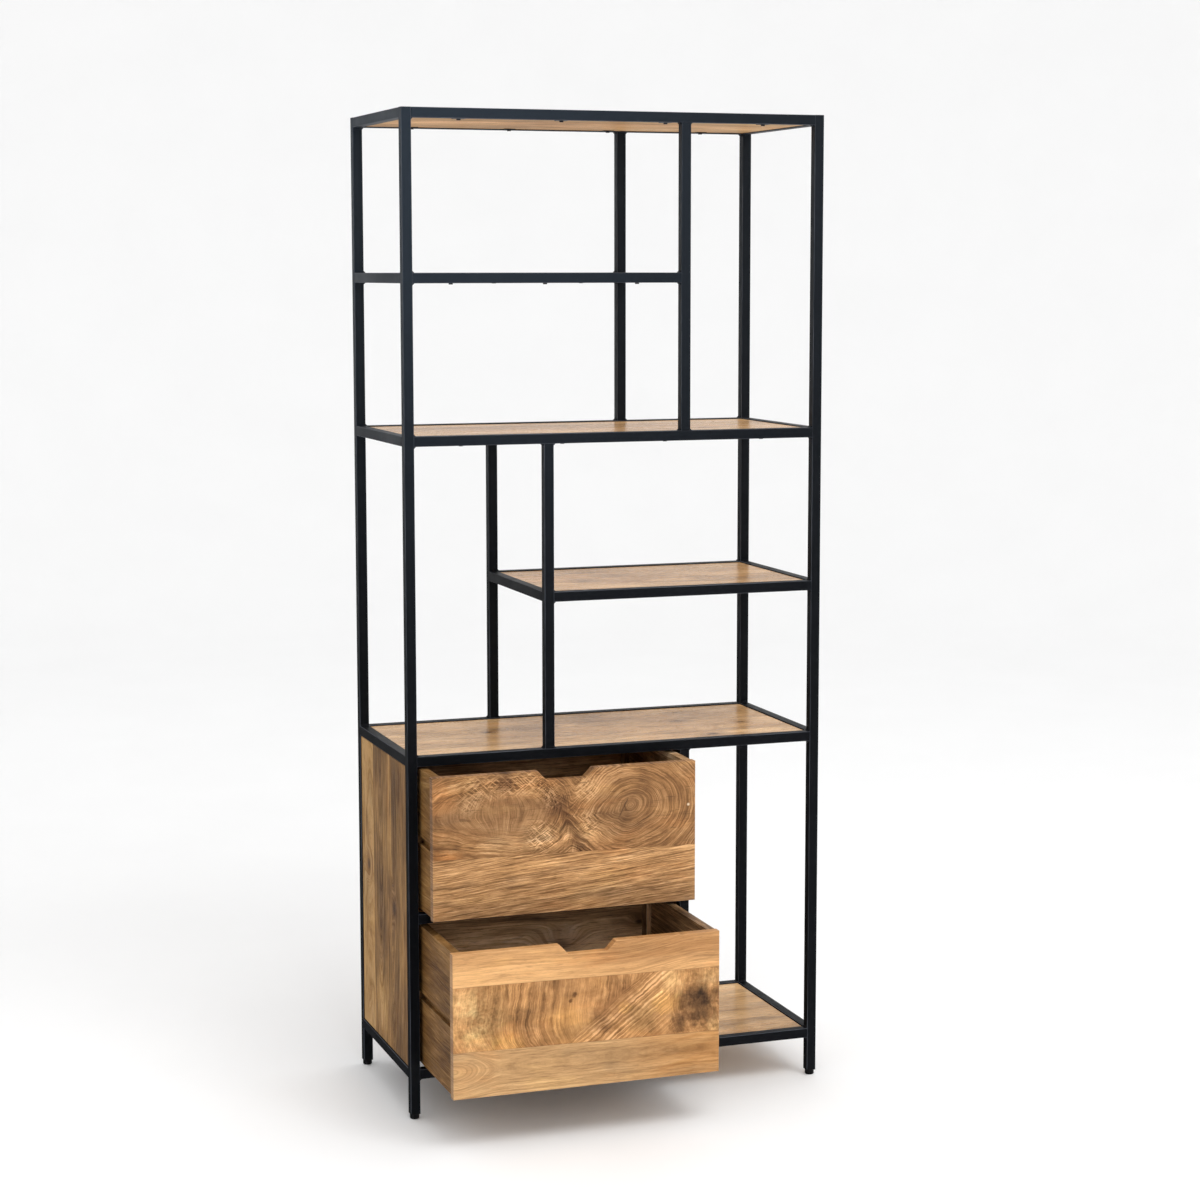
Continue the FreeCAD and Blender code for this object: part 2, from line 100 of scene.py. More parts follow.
class Graph:
    """A material's node graph; each call adds a node and returns its output."""

    def __init__(self, name):
        self.material = bpy.data.materials.new(name)
        self.material.use_nodes = True
        self.nodes = self.material.node_tree.nodes
        self.links = self.material.node_tree.links
        self.surface = next(n for n in self.nodes if n.type == "BSDF_PRINCIPLED")

    def feed(self, socket, value):
        if isinstance(value, bpy.types.NodeSocket):
            self.links.new(value, socket)
        else:
            socket.default_value = value

    def add(self, kind, inputs=None, out=0, **settings):
        node = self.nodes.new("ShaderNode" + kind)
        for key, value in settings.items():
            setattr(node, key, value)
        for key, value in (inputs or {}).items():
            self.feed(node.inputs[key], value)
        return node.outputs[out]

    def math(self, operation, *values):
        return self.add("Math", dict(enumerate(values)), operation=operation)

    def plus(self, first, *others):
        for other in others:
            first = self.math("ADD", first, other)
        return first

    def minus(self, a, b):
        return self.math("SUBTRACT", a, b)

    def times(self, first, *others):
        for other in others:
            first = self.math("MULTIPLY", first, other)
        return first

    def xyz(self, x, y, z=0.0):
        return self.add("CombineXYZ", {0: x, 1: y, 2: z})

    def split(self, vector):
        node = self.nodes.new("ShaderNodeSeparateXYZ")
        self.feed(node.inputs[0], vector)
        return list(node.outputs)

    def length(self, x, y):
        return self.add("VectorMath", {0: self.xyz(x, y)}, out="Value", operation="LENGTH")

    def noise(self, *axes, detail=2.0, rough=0.5, out=0):
        """Noise over three axes; an axis is a value, or a value and its scale."""
        vector = self.xyz(*(self.times(*a) if isinstance(a, tuple) else a for a in axes))
        inputs = {"Vector": vector, "Scale": 1.0, "Detail": detail, "Roughness": rough}
        return self.add("TexNoise", inputs, out=out)

    def swing(self, *axes, reach):
        """Noise about zero."""
        return self.times(self.minus(self.noise(*axes), 0.5), 2 * reach)

    def luck(self, x, y, z):
        """Three random numbers from 0 to 1 for whole-number places."""
        vector = self.xyz(x, y, z)
        return self.split(self.add("TexWhiteNoise", {"Vector": vector}, out="Color"))

    def span(self, value, low, high, to_low=0.0, to_high=1.0):
        inputs = {"Value": value, 1: low, 2: high, 3: to_low, 4: to_high}
        return self.add("MapRange", inputs, interpolation_type="SMOOTHSTEP")

    def near(self, value, at, reach):
        """1 where value is at, falling to 0 at a distance of reach."""
        return self.span(self.math("ABSOLUTE", self.minus(value, at)), reach, 0.0)

    def ramp(self, value, colours):
        node = self.nodes.new("ShaderNodeValToRGB")
        self.feed(node.inputs[0], value)
        stops = node.color_ramp.elements
        while len(stops) < len(colours):
            stops.new(0.5)
        for k, colour in enumerate(colours):
            stops[k].position = k / (len(colours) - 1)
            stops[k].color = colour
        return node.outputs[0]

    def mix(self, factor, a, b, blend="MIX"):
        return self.add("Mix", {0: factor, 6: a, 7: b}, out=2, data_type="RGBA", blend_type=blend)

    def place(self):
        return self.split(self.add("TexCoord", out="Object"))

    def edges(self, radius):
        """1 along the edges of a solid, 0 on its faces."""
        rounded = self.add("Bevel", {"Radius": radius}, samples=4)
        flat = self.add("NewGeometry", out="True Normal")
        inputs = {0: rounded, 1: flat}
        facing = self.add("VectorMath", inputs, out="Value", operation="DOT_PRODUCT")
        return self.span(facing, 0.99, 0.8)

    def finish(self, colour, roughness, height, depth, strength):
        self.feed(self.surface.inputs["Base Color"], colour)
        self.feed(self.surface.inputs["Roughness"], roughness)
        inputs = {"Height": height, "Distance": depth, "Strength": strength}
        self.feed(self.surface.inputs["Normal"], self.add("Bump", inputs))
        return self.material


# Wood


def oil(g, colour, fibre, pore, seam, washes, stains, run, gloss=OIL_GLOSS, rough=OIL_ROUGH):
    """Oiled board: its colour with washes, stains, open pores, glue lines, edges made paler by wear
    and a painted highlight and, across the axis that its grain runs along, darker end grain."""
    for amount, tint in washes:
        colour = g.mix(amount, colour, tint, "MULTIPLY")
    for amount, stain in stains:
        colour = g.mix(amount, colour, linear(*stain))
    facing = g.split(g.add("NewGeometry", out="Normal"))["xyz".index(run)]
    end = g.span(g.math("ABSOLUTE", facing), 0.75, 0.95, 0.0, 0.5)
    colour = g.mix(end, colour, linear(*END_GRAIN))
    colour = g.mix(g.times(pore, 0.5), colour, linear(*PORE))
    colour = g.mix(g.times(seam, 0.35), colour, linear(*GLUE))
    # Paler edges: wear and a painted highlight.
    colour = g.mix(g.times(g.edges(0.0015), 0.18), colour, linear(*EDGE_WEAR_AND_HIGHLIGHT))
    g.surface.inputs["Specular IOR Level"].default_value = gloss
    roughness = g.span(fibre, 0.25, 0.75, 1.15 * rough, 0.85 * rough)
    height = g.minus(g.times(fibre, 0.5), g.plus(g.times(pore, 0.6), seam))
    return g.finish(colour, roughness, height, 0.0008 * rough, 0.6)


def pores(g, along, across, depth):
    """Short dark vessel lines along the grain, some long enough to see from afar."""
    small = g.noise((along, 110), (across, 900), (depth, 900), detail=1.0)
    large = g.noise((along, 34), (across, 360), (depth, 360), detail=1.0)
    return g.math("MAXIMUM", g.times(g.span(small, 0.6, 0.72), 0.7), g.span(large, 0.62, 0.72))


def tints(g, along, across, seed, amount):
    """Golden, orange and grey clouds in the wood."""
    clouds = g.noise((along, 7), (across, 24), seed, detail=3.0, rough=0.55, out="Color")
    red, green, blue = g.split(clouds)
    return [
        (g.span(red, 0.52, 0.7, 0.0, 0.9 * amount), GOLD),
        (g.span(green, 0.54, 0.72, 0.0, 0.8 * amount), ORANGE),
        (g.span(blue, 0.52, 0.7, 0.0, amount), GREY),
    ]


def grain(g, along, field, seed, fine, close=120):
    """Tone and fibre of a plank whose growth lines follow field; fine is how strongly its fibres
    show, and close how close its streaks are."""
    streak = g.noise((field, close), (along, 2.8), seed, detail=4.0, rough=0.75)
    fibre = g.noise((field, 400), (along, 15), seed, detail=4.0, rough=0.7)
    ring = g.noise((field, 90), (along, 1.6), seed, detail=1.0)
    tone = g.plus(
        0.53,
        g.times(g.minus(streak, 0.5), 1.2),
        g.times(g.minus(fibre, 0.5), 2.1 * fine),
        g.times(g.near(ring, 0.5, 0.06), -0.12),
    )
    return tone, fibre


def board_wood(
    name,
    order,
    width,
    start,
    tones,
    knots=(),
    stagger=1.0,
    gloss=OIL_GLOSS,
    rough=OIL_ROUGH,
    contrast=1.0,
    apart=0.35,
    lift=None,
    slim=0.4,
):
    """Glued planks of straight and cathedral grain. order names the axes along and across the
    grain and through the board; the planks are width wide, counted from start, and stagger is how
    far the count may shift from board to board. A knot is given by its place along, across and
    through, its size and how dark its heart is; apart is how much planks differ; lift gives two
    places across and how much the tone rises from one to the other; slim is how wide knots are
    for their length."""
    g = Graph(name)
    axes = dict(zip("xyz", g.place()))
    along, across, depth = (axes[k] for k in order)

    # Boards in different 100 mm steps of depth differ, and so do their planks.
    layer = g.times(depth, 10)
    board = g.math("FLOOR", layer)
    shift = g.luck(board, 2.0, 7.0)[0]
    count = g.plus(g.times(g.minus(across, start), 1 / width), g.times(shift, stagger))
    plank = g.math("FLOOR", count)
    local = g.times(g.minus(g.math("FRACT", count), 0.5), width)
    a, b, c = g.luck(plank, board, 3.0)
    seed = g.plus(g.times(a, 40), g.times(b, 17))

    # The growth lines bend round the knots.
    bend = g.swing((along, 4.0), (across, 12), seed, reach=0.012)
    marks = []
    for at_along, at_across, at_depth, size, dark in knots:
        here = g.near(depth, at_depth, 0.05)
        reach = g.length(g.times(g.minus(along, at_along), slim), g.minus(across, at_across))
        bend = g.plus(bend, g.times(g.span(reach, 3.2 * size, 0.0, 0.0, 1.6 * size), here))
        halo = g.span(reach, 3 * size, 0.5 * size, 0.0, 0.45)
        heart = g.span(reach, size, 0.25 * size, 0.0, dark)
        marks += [(g.times(halo, here), KNOT_HALO), (g.times(heart, here), KNOT_HEART)]

    # They are rings about a log's heart that lies under the plank, at a slant.
    middle = g.times(g.minus(a, 0.5), width * 1.7)
    lean = g.times(along, g.minus(c, 0.5), 0.22)
    under = g.plus(g.math("FRACT", layer), 0.15)
    field = g.length(
        g.plus(g.minus(local, middle), bend),
        g.plus(g.times(under, 0.05), g.times(b, 0.05), lean, g.times(bend, 0.8)),
    )
    tone, fibre = grain(g, along, field, seed, 0.7)
    bent = g.plus(across, bend)
    cloud = g.noise((along, 8), (bent, 30), seed, detail=3.0, rough=0.6)
    broad = g.noise((along, 5), (across, 9), seed, detail=1.0)
    tone = g.plus(
        g.times(tone, contrast),
        0.5 - 0.5 * contrast,
        g.times(g.minus(cloud, 0.5), 0.9 * contrast),
        g.times(g.minus(broad, 0.5), 1.1 * min(1.0, contrast)),
        g.times(g.minus(b, 0.5), apart),
    )
    if lift:
        tone = g.plus(tone, g.span(across, lift[0], lift[1], 0.0, lift[2]))
    smear = g.noise((along, 6), (bent, 75), seed)
    washes = tints(g, along, across, seed, 0.55)
    washes.append((g.span(smear, 0.62, 0.76, 0.0, 0.6), SMEAR))
    gap = g.math("ABSOLUTE", g.minus(g.math("FRACT", g.plus(count, 0.5)), 0.5))
    seam = g.span(gap, 0.0008 / width, 0.0)
    colour = g.ramp(tone, tones)
    pore = pores(g, along, across, depth)
    return oil(g, colour, fibre, pore, seam, washes, marks, order[0], gloss, rough)


# The two drawer fronts. A glue line is given by its height at the middle of the front and by how
# much of its length it falls by to the right.
FRONT_MIDDLE = -0.137
UPPER_GLUE_LINE = (0.517, 0.012)
LOWER_GLUE_LINES = ((0.309, 0.011), (0.1865, 0.013))
GLUE_REACH = 0.0009
# Half the width over which one plank's colour gives way to the next.
CHANGEOVER = 0.0002


def below(g, x, z, height, fall):
    """How far a point of a drawer front is under a glue line."""
    return g.minus(g.minus(height, g.times(g.plus(x, -FRONT_MIDDLE), fall)), z)


def wander(g, x, z, seed, slow, quick):
    """A point of a drawer front, moved a little by slow and quick noise."""
    wide = g.split(g.noise((x, 12), (z, 12), seed, out="Color"))
    close = g.split(g.noise((x, 70), (z, 70), seed, out="Color"))
    return [
        g.plus(v, g.times(g.minus(wide[k], 0.5), slow), g.times(g.minus(close[k], 0.5), quick))
        for k, v in enumerate((x, z))
    ]


def spot(g, x, z, at_x, at_z, size, ragged):
    """1 at the middle of a ragged round spot, 0 outside it."""
    reach = g.plus(g.length(g.minus(x, at_x), g.minus(z, at_z)), ragged)
    return g.span(reach, size, 0.25 * size)


def uneven(g, value, under, over):
    """The size of value, scaled by one share under zero and by another over it."""
    return g.math("MAXIMUM", g.times(value, over), g.times(value, -under))


def weave(g, x, z):
    """Two crossing sets of short pale strokes, from -0.33 to 0.67."""
    strokes = []
    for turn in (0.62, -0.7):
        away = g.plus(g.times(x, math.cos(turn)), g.times(z, math.sin(turn)))
        over = g.minus(g.times(z, math.cos(turn)), g.times(x, math.sin(turn)))
        strokes.append(g.span(g.noise((away, 46), (over, 460), turn, detail=1.0), 0.48, 0.66))
    return g.minus(g.math("MAXIMUM", *strokes), 0.33)


# Of the crotch plank: where it looks quilted, as (x, z, size).
QUILTED = (
    (-0.098, 0.637, 0.036),
    (-0.092, 0.572, 0.032),
    (-0.185, 0.552, 0.044),
)


def upper_front_wood():
    """A crotch plank, with a ringed knot and a long oval, over a straight plank."""
    g = Graph("upper_front_wood")
    x, y, z = g.place()
    u, w = wander(g, x, z, 4.0, 0.022, 0.004)

    # Distances from the knot, which has a tip on its left, and from the oval.
    side, rise = g.plus(u, 0.010), g.minus(w, 0.597)
    slope = g.times(g.math("ABSOLUTE", g.plus(rise, 0.012)), 1.6)
    tip = g.math("MAXIMUM", g.minus(g.times(side, -1.0), slope), 0.0)
    knot = g.minus(g.length(uneven(g, side, 1.0, 0.86), g.times(rise, 1.1)), g.times(tip, 0.28))
    oval = g.length(uneven(g, g.plus(u, 0.215), 0.29, 0.9), g.minus(w, 0.606))
    field = g.math("SMOOTH_MIN", knot, g.plus(oval, 0.02), 0.012)

    # Rings and hair lines round both, and arcs across the inside of the oval.
    broad = g.noise((field, 60), (x, 6), (z, 6))
    ring = g.noise((field, 210), (x, 4), (z, 4), detail=3.0, rough=0.65)
    lines = g.math("SINE", g.plus(g.times(field, 1150), g.times(ring, 4.0)))
    hair = g.noise((field, 480), (x, 18), (z, 18), detail=4.0, rough=0.7)
    cloud = g.noise((x, 26), (z, 26), 2.0, detail=4.0, rough=0.6)
    high = g.minus(w, 0.603)
    arcs = g.minus(u, g.times(high, high, g.span(x, -0.34, -0.2, 20.0, -18.0)))
    arc_ring = g.noise((arcs, 95), (z, 4), 7.0, detail=3.0, rough=0.65)
    arc_hair = g.noise((arcs, 420), (z, 18), 7.0, detail=4.0, rough=0.7)
    in_oval = g.span(g.length(g.times(g.plus(u, 0.28), 0.4), high), 0.056, 0.026)
    ring = g.mix(in_oval, ring, arc_ring)
    hair = g.mix(in_oval, hair, arc_hair)

    # A gleam at the upper left of the knot, and the quilted wood.
    gleam = g.times(
        g.span(g.minus(rise, side), 0.03, 0.1), g.near(knot, 0.082, 0.03), g.span(side, -0.1, -0.08)
    )
    quilt = g.times(
        g.near(oval, 0.052, 0.036),
        g.span(rise, -0.004, 0.016),
        g.span(x, -0.37, -0.32),
        g.span(x, -0.13, -0.17),
    )
    for at_x, at_z, size in QUILTED:
        quilt = g.math("MAXIMUM", quilt, spot(g, x, z, at_x, at_z, size, 0.0))

    # A dark plume between the knot and the oval, with barbs to both sides.
    lean = g.plus(u, 0.14, g.times(g.minus(w, 0.586), 0.5))
    apart = g.math("ABSOLUTE", lean)
    plume = g.times(g.span(apart, 0.05, 0.006), g.span(z, 0.672, 0.645))
    barbs = g.noise((g.plus(w, g.times(apart, 1.3)), 170), (lean, 30), 6.0, detail=3.0)
    top_tone = g.plus(
        0.5,
        g.times(g.minus(broad, 0.5), 0.6),
        g.times(g.minus(ring, 0.5), g.minus(0.6, g.times(in_oval, 0.25))),
        g.times(lines, g.minus(g.plus(g.times(gleam, 0.14), 0.045), g.times(in_oval, 0.045))),
        g.times(gleam, 0.16),
        g.times(g.minus(hair, 0.5), g.minus(2.0, g.times(in_oval, 0.7))),
        g.times(g.minus(cloud, 0.5), 0.7),
        g.times(weave(g, x, z), quilt, 0.6),
        g.times(plume, g.minus(barbs, 0.6), 1.5),
    )

    # The straight plank.
    bend = g.swing((x, 5), (z, 9), 5.0, reach=0.006)
    slant = g.plus(z, g.times(x, -0.085))
    low_tone, low_fibre = grain(g, x, g.plus(slant, bend), 5.0, 1.1, 200)
    patches = g.noise((x, 9), (slant, 45), 8.0)
    low_tone = g.plus(low_tone, g.times(g.minus(patches, 0.5), 0.7))

    under = below(g, x, z, *UPPER_GLUE_LINE)
    low = g.span(under, -CHANGEOVER, CHANGEOVER)
    colour = g.mix(low, g.ramp(top_tone, CROTCH), g.ramp(low_tone, UPPER_PLANK))
    fibre = g.mix(low, hair, low_fibre)
    seam = g.near(under, 0.0, GLUE_REACH)

    # A crack in the knot, and darker and paler places.
    crack_x, crack_z = g.plus(x, 0.022), g.minus(z, 0.5955)
    crack_along = g.plus(g.times(crack_x, 0.456), g.times(crack_z, 0.89))
    crack_across = g.minus(g.times(crack_x, 0.89), g.times(crack_z, 0.456))
    crack = g.times(
        g.near(crack_across, 0.0, 0.0022),
        g.span(g.math("ABSOLUTE", crack_along), 0.022, 0.016),
    )
    ragged = g.times(g.minus(cloud, 0.5), 0.06)

    def blot(at_x, at_z, size, amount):
        return g.times(spot(g, x, z, at_x, at_z, size, ragged), amount)

    knot_left = g.times(g.span(knot, 0.076, 0.06), g.span(side, -0.01, -0.07), 0.25)
    dark = g.times(g.near(lean, 0.0, 0.018), g.span(z, 0.67, 0.55, 0.1, 0.8))
    pale = g.times(g.near(z, 0.545, 0.036), g.span(x, -0.33, -0.27), g.span(x, -0.02, -0.06))
    shaded = g.math("MAXIMUM", g.span(z, 0.485, 0.415), g.span(x, -0.22, -0.34, 0.0, 0.4))
    crotch_washes = (
        (g.span(knot, 0.073, 0.064, 0.0, 0.2), (132, 95, 60)),
        (knot_left, (112, 78, 48)),
        (g.times(in_oval, 0.4), (138, 104, 71)),
        (dark, (118, 80, 46)),
        (blot(-0.113, 0.535, 0.026, 0.4), (108, 72, 42)),
        (blot(-0.165, 0.608, 0.045, 0.7), (112, 76, 46)),
        (blot(-0.385, 0.550, 0.050, 0.6), (122, 86, 50)),
        (g.times(pale, 0.7), (178, 136, 91)),
        (blot(-0.258, 0.655, 0.024, 0.8), (98, 65, 38)),
        (blot(-0.370, 0.520, 0.030, 0.7), (172, 110, 58)),
        (blot(-0.385, 0.630, 0.045, 0.7), (170, 116, 68)),
        (g.times(quilt, 0.25), (166, 124, 78)),
    )
    up = g.minus(1.0, low)
    washes = tints(g, x, z, 30.0, 0.6)
    washes.append((g.times(shaded, low), SHADED))
    washes += [(g.times(amount, up), wash(tint, CROTCH)) for amount, tint in crotch_washes]
    stains = [
        (g.times(crack, 0.8), (78, 54, 34)),
        (spot(g, x, z, 0.109, 0.592, 0.0038, 0.0), (222, 198, 164)),
    ]
    return oil(g, colour, fibre, pores(g, x, z, y), seam, washes, stains, "x")


# Of the curly plank: dark curls and pale rays, as (place, half width, strength) across them,
# and stains, as (x, z, size, amount, tone), in seven tones.
PALE, HONEY, TAN = (218, 170, 112), (205, 150, 86), (190, 138, 86)
OLIVE, BROWN, DARK, PITH = (151, 114, 70), (142, 98, 58), (119, 83, 49), (96, 60, 30)
CURLS = (
    (-0.352, 0.007, 0.08),
    (-0.322, 0.009, 0.13),
    (-0.303, 0.006, 0.10),
    (-0.276, 0.010, 0.13),
    (-0.256, 0.008, 0.15),
    (-0.229, 0.004, 0.22),
    (-0.210, 0.005, 0.20),
)
RAYS = (
    (-0.092, 0.0036, 0.35),
    (-0.080, 0.0040, 0.45),
    (-0.068, 0.0062, 0.75),
    (-0.056, 0.0034, 0.4),
    (-0.042, 0.0034, 0.35),
    (-0.028, 0.0054, 0.7),
    (-0.017, 0.0034, 0.4),
    (-0.004, 0.0034, 0.35),
)
CURLY_STAINS = (
    (-0.385, 0.240, 0.060, 0.35, PALE),
    (-0.378, 0.288, 0.042, 0.7, PALE),
    (-0.330, 0.270, 0.062, 0.45, OLIVE),
    (-0.330, 0.226, 0.052, 0.55, OLIVE),
    (-0.256, 0.230, 0.042, 0.5, DARK),
    (-0.270, 0.262, 0.050, 0.6, TAN),
    (-0.262, 0.290, 0.044, 0.4, TAN),
    (-0.355, 0.198, 0.040, 0.45, PALE),
    (-0.290, 0.196, 0.045, 0.8, HONEY),
    (-0.178, 0.225, 0.060, 0.4, HONEY),
    (-0.140, 0.272, 0.066, 0.7, TAN),
    (-0.112, 0.226, 0.040, 0.4, BROWN),
    (-0.078, 0.248, 0.066, 0.8, BROWN),
    (-0.030, 0.225, 0.050, 0.5, OLIVE),
    (-0.066, 0.246, 0.018, 0.6, HONEY),
    (0.016, 0.242, 0.034, 0.8, HONEY),
    (0.030, 0.288, 0.036, 0.7, PALE),
    (0.048, 0.210, 0.044, 0.5, BROWN),
    (0.078, 0.274, 0.038, 0.7, DARK),
    (0.070, 0.232, 0.048, 0.9, DARK),
    (0.038, 0.204, 0.020, 0.6, DARK),
    (0.098, 0.218, 0.044, 0.7, DARK),
    (0.114, 0.250, 0.030, 0.8, DARK),
    (0.104, 0.290, 0.034, 0.5, PALE),
    (0.112, 0.196, 0.022, 0.6, PALE),
    (-0.164, 0.279, 0.0060, 0.9, PITH),
    (-0.172, 0.267, 0.0052, 0.9, PITH),
)
# Stains smaller than this have smoother edges.
RAGGED_SIZE = 0.03


def lower_front_wood():
    """A curly, stained plank between two straight ones."""
    g = Graph("lower_front_wood")
    x, y, z = g.place()
    u, w = wander(g, x, z, 14.0, 0.016, 0.006)

    # The curly plank: curls, a fan of rays, a coil at the left and burl at both ends.
    rise = g.minus(w, 0.245)
    sag = g.math("MINIMUM", rise, 0.0)
    curl = g.minus(u, g.plus(g.times(rise, 0.12), g.times(sag, sag, 7.0)))
    ray = g.minus(g.plus(g.times(x, 0.6), g.times(u, 0.4)), g.times(rise, 1.3))
    cloud = g.noise((x, 30), (z, 30), 7.0, detail=4.0, rough=0.65)
    patch = g.noise((x, 24), (z, 60), 11.0)
    fan = g.times(g.span(ray, -0.118, -0.1), g.span(x, 0.05, 0.0))
    swirl = g.length(g.plus(u, 0.343), g.minus(w, 0.243))
    burl = g.noise((u, 80), (w, 80), 5.0, detail=4.0, rough=0.7)
    coil = g.math("SINE", g.plus(g.times(swirl, 700), g.times(burl, 16.0)))
    along_curl = g.noise((curl, 85), (z, 7), 3.0, detail=4.0, rough=0.68)
    along_ray = g.noise((ray, 110), (z, 5), 3.0, detail=4.0, rough=0.68)
    wild = g.math("MAXIMUM", g.span(x, 0.03, 0.06), g.times(g.span(x, -0.28, -0.33), 0.8))
    calm = g.minus(1.0, g.times(g.near(x, -0.155, 0.09), g.minus(1.0, fan), 0.5))
    hair = g.mix(
        fan,
        g.noise((curl, 330), (z, 16), 1.0, detail=4.0, rough=0.7),
        g.noise((ray, 330), (z, 16), 1.0, detail=4.0, rough=0.7),
    )
    mid_tone = g.plus(
        0.5,
        g.times(g.minus(g.mix(wild, g.mix(fan, along_curl, along_ray), burl), 0.5), calm, 1.1),
        g.times(g.minus(hair, 0.5), g.minus(1.4, g.times(wild, 0.8)), calm),
        g.times(g.minus(cloud, 0.5), 1.0),
        g.times(coil, g.span(swirl, 0.05, 0.02), 0.06),
    )
    fade = g.span(patch, 0.35, 0.6, 0.35, 1.0)
    for at, reach, strength in CURLS:
        mid_tone = g.minus(mid_tone, g.times(g.near(curl, at, reach), fade, strength))
    for at, reach, strength in RAYS:
        mid_tone = g.plus(mid_tone, g.times(g.near(ray, at, reach), fan, fade, strength))

    # The straight planks; the lower one has arches at its left end.
    bend = g.swing((x, 5), (z, 9), 11.0, reach=0.008)
    sweep = g.times(g.span(x, -0.08, 0.1), 0.018)
    top_tone, top_fibre = grain(g, x, g.minus(g.plus(z, bend), sweep), 11.0, 0.6)
    bend = g.swing((x, 7), (z, 12), 21.0, reach=0.004)
    arch = g.length(g.minus(z, 0.155), g.span(x, -0.42, -0.31, 0.0, 0.03))
    arch = g.plus(arch, bend)
    low_tone, low_fibre = grain(g, x, arch, 25.0, 0.7)
    low_tone = g.plus(low_tone, g.times(g.math("SINE", g.times(arch, 1000)), 0.04))

    under_top, under_mid = (below(g, x, z, *line) for line in LOWER_GLUE_LINES)
    past_top = g.span(under_top, -CHANGEOVER, CHANGEOVER)
    past_mid = g.span(under_mid, -CHANGEOVER, CHANGEOVER)
    colour = g.mix(past_top, g.ramp(top_tone, GOLDEN), g.ramp(mid_tone, CURLY))
    colour = g.mix(past_mid, colour, g.ramp(low_tone, LOWER_PLANK))
    fibre = g.mix(past_mid, g.mix(past_top, top_fibre, hair), low_fibre)
    seam = g.plus(g.near(under_top, 0.0, GLUE_REACH), g.near(under_mid, 0.0, GLUE_REACH))

    # Browner wood at the right of the straight planks, and the curly plank's stains.
    streak = g.noise((x, 6), (g.minus(z, sweep), 70), 31.0, detail=3.0, rough=0.6)
    browner = g.math(
        "MAXIMUM",
        g.times(g.span(x, -0.28, -0.08), g.span(z, 0.315, 0.350, 0.4, 1.0)),
        g.span(z, 0.332, 0.362, 0.0, 0.6),
    )
    browner = g.times(browner, g.span(streak, 0.3, 0.65, 0.7, 1.2), g.minus(1.0, past_top))
    flame = g.times(g.span(x, -0.11, 0.07), g.span(streak, 0.35, 0.65, 0.7, 1.1), past_mid)
    washes = tints(g, x, z, 50.0, 0.5)
    washes += [(browner, BROWNER), (flame, FLAME)]
    middle = g.times(past_top, g.minus(1.0, past_mid))
    speck = g.noise((x, 90), (z, 70), 9.0, detail=3.0, rough=0.6)
    ragged = g.plus(g.times(g.minus(cloud, 0.5), 0.08), g.times(g.minus(speck, 0.5), 0.04))
    for at_x, at_z, size, amount, stain in CURLY_STAINS:
        blot = spot(g, x, z, at_x, at_z, size, g.times(ragged, min(1.0, size / RAGGED_SIZE)))
        washes.append((g.times(blot, middle, amount), wash(stain, CURLY)))
    pore = g.times(pores(g, x, z, y), g.minus(0.5, g.times(middle, 0.4)))
    return oil(g, colour, fibre, pore, seam, washes, (), "x")


# Metal and plastic

# The colour of a painted sheen, where the light catches the frame at the top left.
PAINTED_TOP_LEFT_SHEEN = (45, 54, 64)
SCREW_TONES = ((22, 22, 24), (34, 34, 37), (52, 52, 56))


def coated_steel(name, colour, edge_wear_and_highlight_colour, roughness, specular, edge_wear_and_highlight_amount=1.0):
    """Powder coat with its orange-peel skin, paler along the rounded edges, partly as wear and
    partly as a painted highlight, paler towards the top left as a painted sheen, and duller low on
    the faces to the left."""
    g = Graph(name)
    x, y, z = g.place()
    dust = g.noise((x, 6), (y, 6), (z, 6), detail=5.0, rough=0.6)
    peel = g.noise((x, 900), (y, 900), (z, 900))
    facing = g.split(g.add("NewGeometry", out="Normal"))
    faces = [g.math("ABSOLUTE", v) for v in facing]
    straight = g.math("MAXIMUM", g.math("MAXIMUM", faces[0], faces[1]), faces[2])
    # The rounded edges are paler: partly wear, partly a painted highlight.
    edge_wear_and_highlight = g.times(g.span(straight, 0.985, 0.8), g.span(dust, 0.35, 0.65, 0.25, 0.9), edge_wear_and_highlight_amount)
    shade = g.mix(g.span(dust, 0.35, 0.7), linear(*colour), linear(*(c + 4 for c in colour)))
    # Painted sheen: paler towards the top and towards the left.
    painted_sheen = g.times(g.span(z, 0.8, 1.9, 0.0, 0.6), g.span(x, 0.45, -0.42, 0.3, 1.0))
    shade = g.mix(painted_sheen, shade, linear(*PAINTED_TOP_LEFT_SHEEN))
    shade = g.mix(edge_wear_and_highlight, shade, linear(*edge_wear_and_highlight_colour))
    dull = g.times(g.span(facing[0], -0.4, -0.9), g.span(z, 1.5, 0.3, 0.0, 0.4))
    uneven_skin = g.span(dust, 0.3, 0.7, roughness - 0.05, roughness + 0.07)
    rough = g.plus(uneven_skin, g.times(peel, 0.05), dull)
    g.surface.inputs["Specular IOR Level"].default_value = specular
    return g.finish(shade, rough, peel, 0.00006, 0.5)


def screw_metal():
    """Dark plated steel."""
    g = Graph("screw_metal")
    x, y, z = g.place()
    dust = g.noise((x, 260), (y, 260), (z, 260), detail=3.0)
    shade = g.ramp(dust, [linear(*c) for c in SCREW_TONES])
    g.surface.inputs["Metallic"].default_value = 0.7
    return g.finish(shade, g.span(dust, 0.3, 0.7, 0.32, 0.5), dust, 0.00005, 0.4)


# Materials of the nodes

